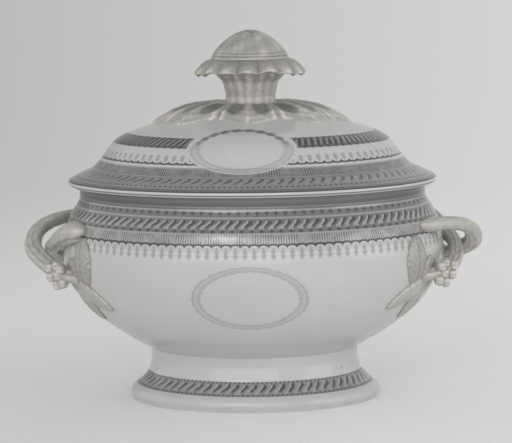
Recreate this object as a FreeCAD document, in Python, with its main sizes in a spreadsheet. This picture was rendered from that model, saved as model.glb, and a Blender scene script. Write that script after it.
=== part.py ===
import FreeCAD, Part
import math
import os

# An oval porcelain soup tureen with its cover, in millimetres.
# Origin at the centre of the foot's underside, +X along the handles, the front is -Y, +Z is up.
# The bowl, foot and cover are ovals of one plan. Each half size is an oval's half length, along X.

SIZES = (
    # every oval of the body and cover is this much narrower than it is long
    ("plan_share", 0.76),
    # foot, a hollow ring that the bowl is luted to, spreading from its waist down to its toe
    ("foot_waist_half", 79.8),
    ("foot_height", 39.5),
    ("foot_spread", 15.2),
    ("foot_toe_out", 1.6),
    ("foot_toe_height", 4.0),
    ("foot_wall", 7.0),
    # what is ground off under the foot after firing, so that it stands flat
    ("foot_ground_off", 1.0),
    # bowl: the belly's height over the foot, then the steps up, and in from the belly, as far as the mouth
    ("belly_half", 146.8),
    ("belly_rise", 72.5),
    ("shoulder_in", 5.2),
    ("shoulder_rise", 29.0),
    ("neck_in", 14.0),
    ("neck_rise", 16.5),
    ("mouth_rise", 11.0),
    ("bowl_wall", 5.5),
    ("bowl_floor", 7.0),
    # cover, which rests on the mouth and drips outside it: the steps in from the rim and up from the mouth
    ("rim_overhang", 8.6),
    ("rim_round", 3.0),
    ("drip_clearance", 1.8),
    ("cove_in", 22.2),
    ("cove_rise", 14.0),
    ("crown_in", 13.3),
    ("crown_rise", 16.7),
    ("pad_margin", 3.4),
    ("pad_rise", 25.1),
    ("cover_wall", 5.5),
    # locating flange under the cover, which hangs inside the mouth
    ("flange_clearance", 2.0),
    ("flange_wall", 6.0),
    ("flange_depth", 17.0),
    ("flange_taper", 1.5),
    # leaf rosette round the knob
    ("rosette_half", 76.0),
    ("rosette_plan_share", 0.68),
    ("rosette_thickness", 6.6),
    ("rosette_leaf_count", 8),
    ("rosette_lobe_depth", 9.0),
    ("rosette_dish_depth", 3.0),
    ("rosette_clearance", 0.2),
    # knob: fluted stem, ruffled collar and closed bud
    ("knob_plan_share", 0.84),
    ("petal_count", 16),
    ("stem_foot_half", 19.6),
    ("stem_top_half", 26.5),
    ("stem_height", 25.2),
    ("flute_depth", 0.7),
    ("collar_half", 42.8),
    ("collar_height", 11.8),
    ("ruffle_out", 0.9),
    ("ruffle_up", 1.2),
    ("bud_half", 29.6),
    ("bud_height", 21.7),
    # entwined strand handles
    ("handle_reach", 29.7),
    ("handle_drop", 13.0),
    ("handle_rise", 38.0),
    ("root_spread", 47.0),
    ("outer_strand_width", 13.4),
    ("outer_strand_thick", 9.8),
    ("inner_strand_width", 10.6),
    ("inner_strand_thick", 8.6),
    # leaf sprigs where the strands end
    ("calyx_length", 34.0),
    ("calyx_width", 24.0),
    ("pad_leaf_length", 38.0),
    ("pad_leaf_width", 22.0),
    ("tail_leaf_length", 44.0),
    ("tail_leaf_width", 15.0),
    ("leaf_relief", 3.4),
    # berries on the strand ends
    ("berry_radius", 4.2),
)

# Shares of the way from one named ring to the next: (outwards or inwards, upwards).
FOOT_FLARE_SHARES = ((0.06, 0.12), (0.39, 0.25), (0.7, 0.395), (0.857, 0.507), (0.952, 0.676), (1.0, 0.84))
BELLY_SHARES = ((0.19, 0.098), (0.443, 0.25), (0.652, 0.404), (0.812, 0.57), (0.922, 0.738), (0.985, 0.883))
SHOULDER_SHARES = ((0.096, 0.345), (0.385, 0.69))
NECK_SHARES = ((0.25, 0.236), (0.6, 0.545), (0.886, 0.79))
COVE_SHARES = ((0.28, 0.28), (0.594, 0.5), (0.828, 0.718))
CROWN_SHARES = ((0.24, 0.228), (0.45, 0.45), (0.69, 0.725))
DOME_SHARES = ((0.076, 0.175), (0.193, 0.339), (0.368, 0.518), (0.547, 0.709), (0.726, 0.869), (0.881, 0.964))
# The inner floor of the bowl is flat out to this share of the luting ring.
FLOOR_EDGE_SHARE = 0.9
# Knob, each from its base up. Stem: (outwards from foot to top, upwards, flute depth).
STEM_SHARES = ((0.0, 0.0, 0.7), (0.0, 0.12, 1.0), (-0.08, 0.3, 1.0), (0.06, 0.55, 1.0), (0.36, 0.8, 1.0),
               (1.0, 1.0, 1.0))
# Collar, from its top round to its underside: (half length, upwards, ruffle).
COLLAR_SHARES = ((0.735, 1.0, 0.0), (0.83, 0.88, 0.25), (0.945, 0.62, 0.7), (1.0, 0.25, 1.0),
                 (0.985, 0.03, 1.0), (0.86, 0.02, 0.5), (0.68, 0.0, 0.0))
# Closed bud: (upwards, half length).
BUD_SHARES = ((0.0, 1.0), (0.13, 0.975), (0.28, 0.905), (0.5, 0.76), (0.7, 0.59), (0.89, 0.36), (0.975, 0.17))
# Rosette: (half length, height over the cover as a share of the thickness, lobe depth).
ROSETTE_SHARES = ((1.0, -0.16, 1.0), (0.975, 0.29, 1.0), (0.915, 0.55, 0.85), (0.83, 0.79, 0.65),
                  (0.735, 0.98, 0.45), (0.60, 1.0, 0.3), (0.45, 0.82, 0.15))
# The rosette's hollow top, as a share of its innermost ring.
ROSETTE_DISH_SHARE = 0.9
# Points of a waved oval for each petal, and how pointed the waves are.
PETAL_STEPS = 8
PETAL_SHARPNESS = 1.3
LEAF_SHARPNESS = 0.85
# Handle strands on the -X end, as shares: (outwards from the belly, towards +Y, upwards, section size), and
# the turn of the broad side from facing up towards the front, in degrees.
OUTER_STRAND_SHARES = (
    (-1.25, 0.93, 0.97, 1.3, 0.0), (-0.60, 0.86, 1.00, 1.15, 0.0), (-0.08, 0.70, 1.00, 1.0, 0.0),
    (0.37, 0.49, 0.965, 1.0, 0.0), (0.76, 0.25, 0.87, 1.0, 5.0), (0.985, 0.0, 0.70, 1.0, 15.0),
    (0.97, -0.21, 0.50, 1.0, 25.0), (0.70, -0.43, 0.345, 1.0, 35.0), (0.22, -0.66, 0.17, 1.0, 40.0),
    (-0.30, -0.87, 0.07, 0.95, 40.0), (-0.75, -0.98, 0.03, 0.9, 40.0), (-1.30, -1.02, 0.0, 0.85, 40.0))
INNER_STRAND_SHARES = (
    (-1.35, -1.0, 0.96, 1.7, 40.0), (-0.90, -1.03, 0.94, 1.6, 38.0), (-0.52, -0.93, 0.88, 1.35, 32.0),
    (-0.17, -0.73, 0.776, 1.1, 22.0), (0.12, -0.49, 0.63, 1.0, 10.0), (0.34, -0.21, 0.51, 1.0, 0.0),
    (0.41, 0.064, 0.40, 1.0, 0.0), (0.38, 0.35, 0.285, 1.02, -12.0), (0.20, 0.645, 0.17, 1.06, -28.0),
    (-0.30, 0.87, 0.07, 1.1, -38.0), (-0.75, 0.98, 0.03, 1.05, -40.0), (-1.30, 1.02, 0.0, 1.0, -40.0))
# Points round a strand.
SECTION_STEPS = 16
SECTION_ANGLES = [2 * math.pi * step / SECTION_STEPS for step in range(SECTION_STEPS)] + [0.0]
# Leaves of a sprig: (name, share of the handle's rise, turn round the body, lean, length, width). The turn is
# counted from the -X end and the lean from straight down, in degrees.
SPRIG_LEAF_SHARES = (
    ("calyx", 0.0, 23.0, 0.0, "calyx_length", "calyx_width"),
    ("pad", 0.36, 31.5, 0.0, "pad_leaf_length", "pad_leaf_width"),
    ("long_tail", -0.28, 31.0, 55.0, "tail_leaf_length", "tail_leaf_width"),
    ("short_tail", -0.37, 24.5, 6.0, "tail_leaf_length", "tail_leaf_width"),
)
# Each ellipsoid of a leaf is this much larger than the leaf that the two share.
LEAF_BLANK_SHARE = 1.35
# Berries over a strand's lower end: (outwards, towards +Y, upwards), as for the strands.
BERRY_SHARES = ((0.265, -0.787, 0.184), (0.009, -0.872, 0.237), (-0.034, -0.904, 0.04), (0.222, -0.798, 0.0),
                (-0.12, -0.98, 0.19), (0.009, -0.85, -0.145), (-0.2, -0.94, -0.10))

doc = FreeCAD.newDocument("covered_dish")


def make_sheet():
    """The driving dimensions, one row each: name, value."""
    sheet = doc.addObject("Spreadsheet::Sheet", "sizes")
    for row, (name, value) in enumerate(SIZES, start=1):
        sheet.set(f"A{row}", name)
        sheet.set(f"B{row}", str(value))
        sheet.setAlias(f"B{row}", name)
    doc.recompute()
    return sheet


SHEET = make_sheet()


def size(name):
    return float(SHEET.get(name))


def cell(name):
    return f"sizes.{name}"


# Half lengths and heights that follow from the sizes, from the foot up.
FOOT_BASE_HALF = size("foot_waist_half") + size("foot_spread")
NECK_HALF = size("belly_half") - size("neck_in")
INNER_MOUTH_HALF = NECK_HALF - size("bowl_wall")
FLANGE_HALF = INNER_MOUTH_HALF - size("flange_clearance")
RIM_HALF = NECK_HALF + size("rim_overhang")
COVE_HALF = RIM_HALF - size("cove_in")
CROWN_HALF = COVE_HALF - size("crown_in")
PAD_HALF = size("stem_foot_half") + size("pad_margin")
BELLY_HEIGHT = size("foot_height") + size("belly_rise")
SHOULDER_HEIGHT = BELLY_HEIGHT + size("shoulder_rise")
NECK_HEIGHT = SHOULDER_HEIGHT + size("neck_rise")
MOUTH_HEIGHT = NECK_HEIGHT + size("mouth_rise")
COVE_HEIGHT = MOUTH_HEIGHT + size("cove_rise")
CROWN_HEIGHT = COVE_HEIGHT + size("crown_rise")
PAD_HEIGHT = CROWN_HEIGHT + size("pad_rise")
COLLAR_BASE_HEIGHT = PAD_HEIGHT + size("stem_height")
BUD_BASE_HEIGHT = COLLAR_BASE_HEIGHT + size("collar_height")
HANDLE_LOW_HEIGHT = BELLY_HEIGHT - size("handle_drop")


def add(kind, name):
    piece = doc.addObject(kind, name)
    piece.Label = name
    return piece


def spot(half, height):
    """A point of an outline: half the length of the oval there, and its height."""
    return FreeCAD.Vector(half, 0, height)


def between(start, end, shares):
    """Points between two points, each by its shares of the way out and of the way up."""
    return [spot(start.x + (end.x - start.x) * out, start.z + (end.z - start.z) * up) for out, up in shares]


def inset(points, wall):
    """The points moved square to the outline, into the wall, by its thickness."""
    moved = []
    for index, point in enumerate(points):
        way = points[min(index + 1, len(points) - 1)] - points[max(index - 1, 0)]
        way.normalize()
        moved.append(point + spot(-way.z, way.x) * wall)
    return moved


def line(start, end):
    return Part.LineSegment(start, end).toShape()


def curve(points, **ways):
    """A smooth edge through the points. The ways may set its directions at both ends."""
    spline = Part.BSplineCurve()
    spline.interpolate(Points=points, **ways)
    return spline.toShape()


def polyline(*points):
    return [line(start, end) for start, end in zip(points, points[1:])]


def turned(name, edges, plan):
    """The closed outline turned about Z, then drawn in along Y to the oval's plan."""
    outline = add("Part::Feature", f"{name}_outline")
    outline.Shape = Part.Face(Part.Wire(edges))
    turning = add("Part::Revolution", f"{name}_turning")
    turning.Source = outline
    turning.Axis = FreeCAD.Vector(0, 0, 1)
    oval = add("Part::Scale", name)
    oval.Base = turning
    oval.Uniform = False
    oval.setExpression("YScale", cell(plan))
    doc.recompute()
    return oval


def cut(name, base, tool):
    piece = add("Part::Cut", name)
    piece.Base = base
    piece.Tool = tool
    return piece


def cut_each(name, base, tools):
    """The base cut by every tool in turn. Only the last cut carries the piece's own name."""
    for index, tool in enumerate(tools):
        base = cut(name if tool is tools[-1] else f"{name}_cut_{index}", base, tool)
    return base


def join(name, pieces):
    group = add("Part::MultiFuse", name)
    group.Shapes = pieces
    return group


def overlap(name, pieces):
    common = add("Part::MultiCommon", name)
    common.Shapes = pieces
    return common


UP, OUT, IN = spot(0, 1), spot(1, 0), spot(-1, 0)


# Foot
def make_foot():
    base = spot(FOOT_BASE_HALF, 0)
    toe = spot(FOOT_BASE_HALF + size("foot_toe_out"), size("foot_toe_height"))
    waist = spot(size("foot_waist_half"), size("foot_height"))
    outer = [base, toe] + between(toe, waist, FOOT_FLARE_SHARES) + [waist]
    inner = [point - OUT * size("foot_wall") for point in outer]
    ground_off = UP * size("foot_ground_off")
    edges = [curve(outer), line(outer[-1], inner[-1]), curve(inner)]
    edges += polyline(inner[0], inner[0] - ground_off, outer[0] - ground_off, outer[0])
    blank = turned("foot_blank", edges, "plan_share")
    grinding = add("Part::Box", "foot_grinding")
    grinding.Length = grinding.Width = FOOT_BASE_HALF * 4
    grinding.Height = ground_off.z * 2
    grinding.Placement.Base = FreeCAD.Vector(-FOOT_BASE_HALF * 2, -FOOT_BASE_HALF * 2, -ground_off.z * 2)
    return cut("foot", blank, grinding)


# Bowl
def bowl_outline():
    """The bowl's outer curve from the luting ring up to the neck."""
    luting = spot(size("foot_waist_half"), size("foot_height"))
    belly = spot(size("belly_half"), BELLY_HEIGHT)
    shoulder = spot(size("belly_half") - size("shoulder_in"), SHOULDER_HEIGHT)
    neck = spot(NECK_HALF, NECK_HEIGHT)
    points = [luting] + between(luting, belly, BELLY_SHARES)
    points += [belly] + between(belly, shoulder, SHOULDER_SHARES)
    return points + [shoulder] + between(shoulder, neck, NECK_SHARES) + [neck]


def mouth_point(half):
    return spot(half, MOUTH_HEIGHT)


def make_bowl_outside():
    points = bowl_outline()
    centre = spot(0, size("foot_height"))
    mouth = mouth_point(NECK_HALF)
    edges = [line(centre, points[0]), curve(points)]
    edges += polyline(points[-1], mouth, mouth_point(0), centre)
    return turned("bowl_outside", edges, "plan_share")


def make_bowl():
    outer = bowl_outline()
    centre = spot(0, size("foot_height"))
    inner = inset(outer, size("bowl_wall"))[1:]
    floor = spot(0, size("foot_height") + size("bowl_floor"))
    floor_edge = spot(size("foot_waist_half") * FLOOR_EDGE_SHARE, floor.z)
    inner_mouth = mouth_point(INNER_MOUTH_HALF)
    inner[-1] = spot(INNER_MOUTH_HALF, inner[-1].z)
    edges = [line(centre, outer[0]), curve(outer)]
    edges += polyline(outer[-1], mouth_point(NECK_HALF), inner_mouth, inner[-1])
    edges += [curve([floor_edge] + inner)]
    edges += polyline(floor_edge, floor, centre)
    return turned("bowl", edges, "plan_share")


# Cover and its flange
def cover_outline():
    """The rim's top and the outer curve from there up to the flat pad under the knob."""
    rim_top = spot(RIM_HALF - size("rim_round"), MOUTH_HEIGHT + size("rim_round"))
    cove = spot(COVE_HALF, COVE_HEIGHT)
    crown = spot(CROWN_HALF, CROWN_HEIGHT)
    pad = spot(PAD_HALF, PAD_HEIGHT)
    points = [rim_top] + between(rim_top, cove, COVE_SHARES) + [cove] + between(cove, crown, CROWN_SHARES)
    return points + [crown] + between(crown, pad, DOME_SHARES) + [pad]


def height_on_cover(half):
    """The cover's height at a half length, between the two nearest points of its outline."""
    points = cover_outline()
    pairs = zip(points, points[1:])
    outer, inner = next((outer, inner) for outer, inner in pairs if inner.x <= half <= outer.x)
    return outer.z + (inner.z - outer.z) * (outer.x - half) / (outer.x - inner.x)


def rim_arc():
    """The half round edge of the rim, level with the seat."""
    radius = size("rim_round")
    centre = mouth_point(RIM_HALF - radius)
    return Part.Arc(centre - UP * radius, centre + OUT * radius, centre + UP * radius).toShape()


def make_cover_outside():
    points = cover_outline()
    rim_foot = spot(points[0].x, MOUTH_HEIGHT - size("rim_round"))
    edges = [rim_arc(), curve(points)]
    edges += polyline(points[-1], spot(0, points[-1].z), spot(0, rim_foot.z), rim_foot)
    return turned("cover_outside", edges, "plan_share")


def make_cover():
    outer = cover_outline()
    wall = size("cover_wall")
    seat_inner = mouth_point(FLANGE_HALF - size("flange_wall"))
    inner = [seat_inner] + inset(outer, wall)[len(COVE_SHARES):]
    under_pad = spot(0, inner[-1].z)
    drip = mouth_point(NECK_HALF + size("drip_clearance"))
    rim_foot = spot(outer[0].x, drip.z - size("rim_round"))
    edges = [rim_arc(), curve(outer)]
    edges += polyline(outer[-1], spot(0, outer[-1].z), under_pad, inner[-1])
    edges += [curve(inner)]
    edges += polyline(seat_inner, drip, spot(drip.x, rim_foot.z), rim_foot)
    return turned("cover_shell", edges, "plan_share")


def make_flange():
    outer, inner = FLANGE_HALF, FLANGE_HALF - size("flange_wall")
    low = MOUTH_HEIGHT - size("flange_depth")
    tip = spot(outer - size("flange_taper"), low)
    corners = (mouth_point(outer), mouth_point(inner), spot(inner, low), tip)
    return turned("locating_flange", polyline(*corners, corners[0]), "plan_share")


# Fluted and lobed pieces
def waved_oval(name, half, plan, height, count, out, up, sharp):
    """A closed level curve whose radius and height swing in and out once for each petal."""
    points = []
    steps = count * PETAL_STEPS
    for step in range(steps):
        turn = 2 * math.pi * step / steps
        wave = abs(math.cos(count * turn / 2)) ** sharp
        reach = half - out * (1 - wave)
        drop = up * (1 - wave)
        points.append(FreeCAD.Vector(reach * math.cos(turn), reach * plan * math.sin(turn), height - drop))
    curve = Part.BSplineCurve()
    curve.interpolate(Points=points, PeriodicFlag=True)
    ring = add("Part::Feature", name)
    ring.Shape = Part.Wire([curve.toShape()])
    return ring


def waved_stack(name, rings, plan, count, sharp):
    """A solid skinned over waved ovals: (half length, height, swing out, swing up) for each."""
    stack = add("Part::Loft", name)
    stack.Sections = [waved_oval(f"{name}_ring_{index}", half, plan, height, count, out, up, sharp)
                      for index, (half, height, out, up) in enumerate(rings)]
    stack.Solid = True
    doc.recompute()
    return stack


def make_stem():
    foot, top = size("stem_foot_half"), size("stem_top_half")
    height, depth = size("stem_height"), size("flute_depth")
    rings = [(foot + (top - foot) * out, PAD_HEIGHT + height * up, depth * flute, 0.0)
             for out, up, flute in STEM_SHARES]
    return waved_stack("knob_stem", rings, size("knob_plan_share"), int(size("petal_count")), PETAL_SHARPNESS)


def make_collar():
    half, height = size("collar_half"), size("collar_height")
    swing, sag = size("ruffle_out"), size("ruffle_up")
    rings = [(half * out, COLLAR_BASE_HEIGHT + height * up, swing * ruffle, sag * ruffle)
             for out, up, ruffle in COLLAR_SHARES]
    return waved_stack("knob_collar", rings, size("knob_plan_share"), int(size("petal_count")), PETAL_SHARPNESS)


def make_bud():
    centre, top = spot(0, BUD_BASE_HEIGHT), spot(0, BUD_BASE_HEIGHT + size("bud_height"))
    points = [spot(size("bud_half") * half, centre.z + size("bud_height") * up) for up, half in BUD_SHARES]
    dome = curve(points + [top], InitialTangent=UP, FinalTangent=IN)
    edges = [line(centre, points[0]), dome, line(top, centre)]
    return turned("knob_bud", edges, "knob_plan_share")


def make_rosette(cover_outside):
    reach, plan = size("rosette_half"), size("rosette_plan_share")
    rings = [(reach * half, height_on_cover(reach * half) + size("rosette_thickness") * up,
              size("rosette_lobe_depth") * lobe, 0.0) for half, up, lobe in ROSETTE_SHARES]
    leaves = int(size("rosette_leaf_count"))
    blank = waved_stack("rosette_blank", rings, plan, leaves, LEAF_SHARPNESS)
    dish_half = rings[-1][0] * ROSETTE_DISH_SHARE
    dish = add("Part::Ellipsoid", "rosette_dish")
    dish.setExpression("Radius1", cell("rosette_dish_depth"))
    dish.Radius2 = dish_half
    dish.Radius3 = dish_half * plan
    dish.Placement.Base.z = rings[-1][1]
    hole_half = size("stem_foot_half") + size("rosette_clearance")
    low, high = spot(hole_half, CROWN_HEIGHT), spot(hole_half, COLLAR_BASE_HEIGHT)
    hole_corners = (low, high, spot(0, high.z), spot(0, low.z), low)
    hole = turned("rosette_hole", polyline(*hole_corners), "knob_plan_share")
    return cut_each("leaf_rosette", blank, [dish, cover_outside, hole])


# Handle strands
def strand_point(out, along, up):
    """A place near the -X handle, in shares of its reach, spread and rise."""
    reach = size("handle_reach") - size("outer_strand_width") / 2
    return FreeCAD.Vector(-size("belly_half") - reach * out, size("root_spread") * along,
                          HANDLE_LOW_HEIGHT + size("handle_rise") * up)


def make_strand(name, shares):
    """A strap skinned over ovals square to its route, closed by a flat face at each end."""
    half_width, half_thick = size(f"{name}_width") / 2, size(f"{name}_thick") / 2
    route = [strand_point(out, along, up) for out, along, up, _, _ in shares]
    rows = []
    for index, place in enumerate(route):
        section_share, turn = shares[index][3:]
        ahead = route[min(index + 1, len(route) - 1)] - route[max(index - 1, 0)]
        ahead.normalize()
        broad = ahead.cross(UP).normalize()
        broad = FreeCAD.Rotation(ahead, turn).multVec(broad) * (half_width * section_share)
        flat = ahead.cross(broad).normalize() * (half_thick * section_share)
        rows.append([place + broad * math.cos(angle) + flat * math.sin(angle) for angle in SECTION_ANGLES])
    skin = Part.BSplineSurface()
    skin.interpolate(rows)
    low, high = skin.bounds()[:2]
    ends = [Part.Face(Part.Wire([skin.uIso(place).toShape()])) for place in (low, high)]
    shell = Part.makeShell([skin.toShape()] + ends)
    shell.sewShape()
    solid = Part.makeSolid(shell)
    if solid.Volume < 0:
        solid.reverse()
    strand = add("Part::Feature", f"{name}_blank")
    strand.Shape = solid
    return strand


# Sprigs
def on_body(height, turn):
    """The point on the bowl's outside at a height, turned from the -X end, and the outward normal."""
    plan = size("plan_share")
    points = bowl_outline()
    low, high = next((low, high) for low, high in zip(points, points[1:]) if low.z <= height <= high.z)
    slope = (high.x - low.x) / (high.z - low.z)
    half = low.x + slope * (height - low.z)
    angle = math.radians(turn)
    place = FreeCAD.Vector(-half * math.cos(angle), -half * plan * math.sin(angle), height)
    normal = FreeCAD.Vector(-plan * math.cos(angle), -math.sin(angle), -slope * plan)
    return place, normal.normalize()


def make_leaf(name, place, normal, lean, length, width):
    """An almond shaped leaf with a raised midrib: the overlap of two flat ellipsoids set side by side."""
    down = FreeCAD.Vector(0, 0, -1)
    down = (down - normal * down.dot(normal)).normalize()
    down = FreeCAD.Rotation(normal, lean).multVec(down)
    across = normal.cross(down)
    halves = []
    for side in (-1, 1):
        half = add("Part::Ellipsoid", f"{name}_half_{(side + 1) // 2}")
        half.setExpression("Radius1", f"{cell('leaf_relief')} * {LEAF_BLANK_SHARE}")
        half.setExpression("Radius2", f"{cell(length)} / 2 * {LEAF_BLANK_SHARE}")
        half.setExpression("Radius3", f"{cell(width)} * {LEAF_BLANK_SHARE} / 2")
        offset = across * (side * size(width) * (LEAF_BLANK_SHARE - 1) / 2)
        half.Placement = FreeCAD.Placement(place + offset, FreeCAD.Rotation(down, across, normal, "ZXY"))
        halves.append(half)
    return overlap(name, halves)


def make_sprig_blank():
    leaves = []
    for name, up, turn, lean, length, width in SPRIG_LEAF_SHARES:
        place, normal = on_body(HANDLE_LOW_HEIGHT + size("handle_rise") * up, turn)
        leaves.append(make_leaf(f"sprig_{name}", place, normal, lean, length, width))
    return join("sprig_blank", leaves)


def make_berry_blank():
    berries = []
    for index, (out, along, up) in enumerate(BERRY_SHARES):
        berry = add("Part::Sphere", f"berry_{index}")
        berry.setExpression("Radius", cell("berry_radius"))
        berry.Placement.Base = strand_point(out, along, up)
        berries.append(berry)
    return join("berry_blank", berries)


def mirrored(name, source, direction):
    copy = add("Part::Mirroring", name)
    copy.Source = source
    copy.Normal = direction
    return copy


ALONG, ACROSS = FreeCAD.Vector(1, 0, 0), FreeCAD.Vector(0, 1, 0)


def half_turn(name, source):
    """The piece at the +X end is the -X one turned half round, made as two mirrorings."""
    return mirrored(name, mirrored(f"{name}_flipped", source, ACROSS), ALONG)


def make_handles(bowl_outside):
    """Both handles: entwined strands, with a sprig and berries over each lower end."""
    outer_blank = make_strand("outer_strand", OUTER_STRAND_SHARES)
    inner_blank = make_strand("inner_strand", INNER_STRAND_SHARES)
    front_sprig = make_sprig_blank()
    front_berries = make_berry_blank()
    rear_sprig = mirrored("sprig_blank_rear", front_sprig, ACROSS)
    rear_berries = mirrored("berry_blank_rear", front_berries, ACROSS)
    left = {
        "outer_strand": cut("left_outer_strand", outer_blank, bowl_outside),
        "inner_strand": cut("left_inner_strand", inner_blank, bowl_outside),
    }
    ends = (("front", front_sprig, front_berries, outer_blank, inner_blank),
            ("rear", rear_sprig, rear_berries, inner_blank, outer_blank))
    for end, sprig, berries, own_strand, other_strand in ends:
        carriers = [bowl_outside, own_strand, other_strand]
        left[f"{end}_sprig"] = cut_each(f"left_{end}_sprig", sprig, carriers)
        left[f"{end}_berries"] = cut_each(f"left_{end}_berries", berries, carriers[1:])
    other_end = {"outer_strand": "outer_strand", "inner_strand": "inner_strand", "front_sprig": "rear_sprig",
                 "rear_sprig": "front_sprig", "front_berries": "rear_berries", "rear_berries": "front_berries"}
    right = [half_turn(f"right_{other_end[part]}", piece) for part, piece in left.items()]
    return list(left.values()) + right


def make_tureen():
    pieces = [make_foot(), make_bowl(), make_cover(), make_flange(), make_rosette(make_cover_outside()),
              make_stem(), make_collar(), make_bud()]
    return pieces + make_handles(make_bowl_outside())


def export(pieces):
    """Checks every object, then writes one STEP file for each piece, named after it."""
    doc.recompute()
    for item in doc.Objects:
        if "Invalid" in item.State or "Error" in item.State:
            raise RuntimeError(f"{item.Label} failed: {item.State}")
    os.makedirs("parts", exist_ok=True)
    for piece in pieces:
        shape = piece.Shape
        if shape.isNull() or not shape.isValid() or not shape.Solids:
            raise RuntimeError(f"{piece.Label} has no valid solid")
        shape.exportStep(f"parts/{piece.Label}.step")
        print(piece.Label, "solids", len(shape.Solids), "volume", round(shape.Volume))


export(make_tureen())
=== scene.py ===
"""An oval porcelain soup tureen and its cover, with painted borders, a gilded knob and entwined handles.

Lengths here are millimetres unless a name says metres. X runs along the handles, the front is -Y, Z is up.
"""
import math
from functools import partialmethod

import bpy
import numpy as np
from mathutils import Matrix

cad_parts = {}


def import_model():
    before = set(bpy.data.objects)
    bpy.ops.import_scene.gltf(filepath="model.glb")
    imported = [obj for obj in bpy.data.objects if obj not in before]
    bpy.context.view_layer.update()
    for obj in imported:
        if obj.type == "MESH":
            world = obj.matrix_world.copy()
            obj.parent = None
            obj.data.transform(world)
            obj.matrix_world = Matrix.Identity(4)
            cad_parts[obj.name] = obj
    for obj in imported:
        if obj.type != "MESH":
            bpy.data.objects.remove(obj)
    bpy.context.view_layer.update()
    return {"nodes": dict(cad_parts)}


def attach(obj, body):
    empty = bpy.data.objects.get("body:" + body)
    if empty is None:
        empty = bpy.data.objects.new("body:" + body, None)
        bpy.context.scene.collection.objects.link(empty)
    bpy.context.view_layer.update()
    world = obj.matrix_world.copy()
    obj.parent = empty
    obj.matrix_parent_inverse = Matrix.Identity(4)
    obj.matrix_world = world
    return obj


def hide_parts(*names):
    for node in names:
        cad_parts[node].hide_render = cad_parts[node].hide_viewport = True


METRES = 0.001
MILLIMETRES = 1000.0
TOUCHING = 1e-6
PAINTING_UV = "painting"
RELIEF = "relief"
PLAN = 0.76

# Outlines of the ovals: (half length, height), from the base up.
FOOT_OUTLINE = (
    (95, 0), (96.6, 4), (95.6, 8.3), (90, 12.9), (84.8, 18), (82.2, 22), (80.6, 28), (79.8, 33.8),
    (79.8, 39.5))
FOOT_WALL = 7.0
BOWL_OUTLINE = (
    (79.8, 39.5), (92.5, 46.6), (109.5, 57.6), (123.5, 68.8), (134.2, 80.8), (141.6, 93), (145.8, 103.5),
    (146.8, 112), (146.3, 122), (144.8, 132), (141.6, 141), (139.4, 144.9), (136.3, 150), (133.8, 154),
    (132.8, 157.5))
BOWL_WALL = 5.5
BOWL_FLOOR = 7.0
FLOOR_SHARE = 0.9
LIP_ROUND = 1.2
MOUTH_HEIGHT = 168.5
NECK_HALF = 132.8
COVER_OUTLINE = (
    (138.4, 171.5), (133, 174.6), (127, 177), (122.5, 179.4), (119.2, 182.5), (116, 186.3), (113.2, 190),
    (110, 194.6), (105.9, 199.2), (99.6, 203.6), (89.9, 207.7), (75.4, 212.2), (60.6, 217), (45.7, 221),
    (32.9, 223.4), (23, 224.3))
COVER_WALL = 5.5
RIM_ROUND = 3.0
RIM_WAY = math.pi * RIM_ROUND
DRIP_CLEARANCE = 1.8
FLANGE_INNER_HALF = 119.3
PAD_HEIGHT = 224.3
UP, OUT, IN = (0.0, 1.0), (1.0, 0.0), (-1.0, 0.0)
FLARE = (math.cos(math.radians(30)), math.sin(math.radians(30)))
COVE_START = (-FLARE[0], FLARE[1])

# Knob
KNOB_PLAN = 0.84
PETALS = 16
STEM_RINGS = (
    (19.6, 224.3, 0.5), (19.6, 227.3, 0.7), (19, 231.9, 0.7), (20, 238.2, 0.8), (22.1, 244.5, 0.9),
    (26.5, 249.5, 1), (28.2, 253.2, 1))
COLLAR_RINGS = (
    (29.6, 261.3, 0), (32.6, 260.4, 0.1), (36.6, 257.9, 0.35), (39.8, 254.9, 0.75), (42.3, 251.9, 1),
    (43, 250.4, 1), (42, 249.7, 1), (38.6, 250.4, 0.7), (33, 251, 0.3), (26.5, 251.5, 0))
COLLAR_LIFT = 2.6
COLLAR_HALF = 43.0
RUFFLE_TOP, RUFFLE_DROP = 258.0, 7.0
BUD_RINGS = (
    (29.6, 261.3), (28.9, 264.1), (26.8, 267.4), (22.5, 272.2), (17.5, 276.5), (10.7, 280.6), (5, 282.5),
    (0, 283))

# Rosette
ROSETTE_PLAN = 0.68
ROSETTE_LEAVES = 8
ROSETTE_RINGS = (
    (20, 225.9, 0), (27, 226.6, 0), (34.2, 228.5, 0.15), (45.6, 227.6, 0.3), (55.9, 224.8, 0.45),
    (63.1, 221.4, 0.65), (69.5, 217.7, 0.85), (74.1, 214.5, 1), (76, 211, 1))
ROSETTE_DRAW = 9.0
ROSETTE_EYE_HALF, ROSETTE_EYE_HEIGHT = 19.8, 225.7
ROSETTE_SUNK = 1.2

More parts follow.
